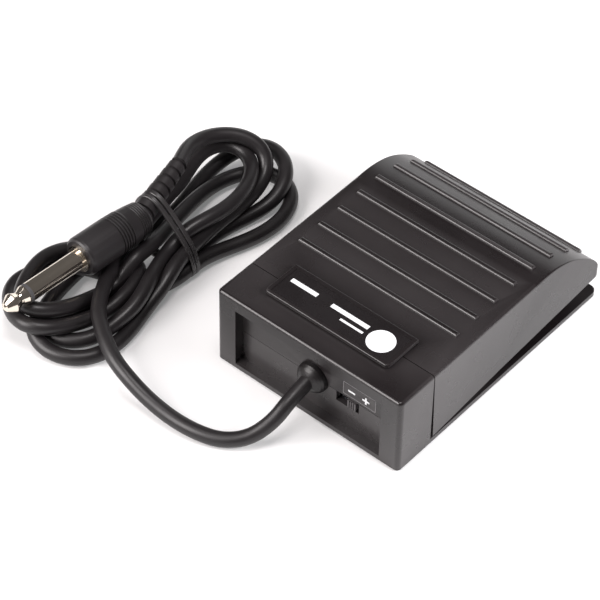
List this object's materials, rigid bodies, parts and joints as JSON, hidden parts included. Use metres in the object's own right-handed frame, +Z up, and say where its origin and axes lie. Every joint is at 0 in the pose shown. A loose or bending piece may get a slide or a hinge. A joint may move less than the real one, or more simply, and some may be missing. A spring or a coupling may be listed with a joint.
{
  "type": "sustain pedal",
  "caption": "Low rectangular foot pedal with a hinged ribbed treadle, rear housing with a polarity slide switch, and a cord tied in a hank ending in a phone plug.",
  "frame": {"origin": "middle of the pedal's footprint, on the surface it stands on, measured without the cord", "axes": "+Y from the treadle's toe end to the cord end, +X to the right of a player whose foot points along +Y, +Z up"},
  "size_m": [0.1428, 0.1401, 0.032],
  "materials": {
    "housing_black": "satin, fine moulded grain",
    "treadle_black": "satin, fine moulded grain",
    "mat_rubber": "matte",
    "grommet_rubber": "satin",
    "cord_jacket": "satin soft PVC",
    "clamp_plastic": "matte",
    "screw_steel": "zinc plated",
    "board_green": "solder mask",
    "switch_steel": "stamped",
    "slider_plastic": "satin",
    "contact_brass": "tinned",
    "switch_plastic": "satin",
    "plunger_plastic": "satin",
    "lead_red": "satin",
    "pin_steel": "ground",
    "bumper_rubber": "matte",
    "spring_steel": "drawn wire",
    "badge_black": "satin label",
    "badge_print": "printed white",
    "plug_plastic": "satin",
    "boot_rubber": "satin",
    "plug_nickel": "nickel plated",
    "insulator_black": "satin",
    "tie_plastic": "satin"
  },
  "bodies": {
    "base": {"base_tray": "housing_black", "floor_mat": "mat_rubber", "rear_housing": "housing_black", "grommet": "grommet_rubber", "cable_inner": "cord_jacket", "cable_clamp": "clamp_plastic", "clamp_screws": "screw_steel", "housing_screws": "screw_steel", "circuit_board": "board_green", "polarity_body": "switch_steel", "polarity_pins": "contact_brass", "switch_body": "switch_plastic", "switch_terminals": "contact_brass", "switch_leads": "lead_red", "hinge_pin": "pin_steel", "stop_bumpers": "bumper_rubber", "return_spring": "spring_steel", "plug_handle": "plug_plastic", "plug_boot": "boot_rubber", "plug_sleeve": "plug_nickel", "plug_insulator": "insulator_black", "plug_tip": "plug_nickel", "cord_hank": "cord_jacket", "twist_tie": "tie_plastic", "cord_tube": "cord_jacket"},
    "treadle": {"treadle": "treadle_black", "badge_plate": "badge_black", "badge_graphic": "badge_print"},
    "polarity_slider": {"polarity_slider": "slider_plastic"},
    "switch_plunger": {"switch_plunger": "plunger_plastic"}
  },
  "joints": [
    {"name": "treadle_hinge", "type": "hinge", "parent": "base", "child": "treadle", "pos_m": [0, 0.0275, 0.012], "axis": [1, 0, 0], "range_deg": [0, 4.2], "stiffness_Nm_per_rad": 6, "springref_deg": -4.58, "deforming": ["return_spring"]},
    {"name": "polarity_slide", "type": "slide", "parent": "base", "child": "polarity_slider", "axis": [1, 0, 0], "range_m": [0, 0.0038]},
    {"name": "switch_plunge", "type": "slide", "parent": "base", "child": "switch_plunger", "axis": [0, 0, -1], "range_m": [0, 0.0017]}
  ],
  "couplings": [
    {"joint": "switch_plunge", "follows": "treadle_hinge", "m_per_rad": 0.0225}
  ]
}
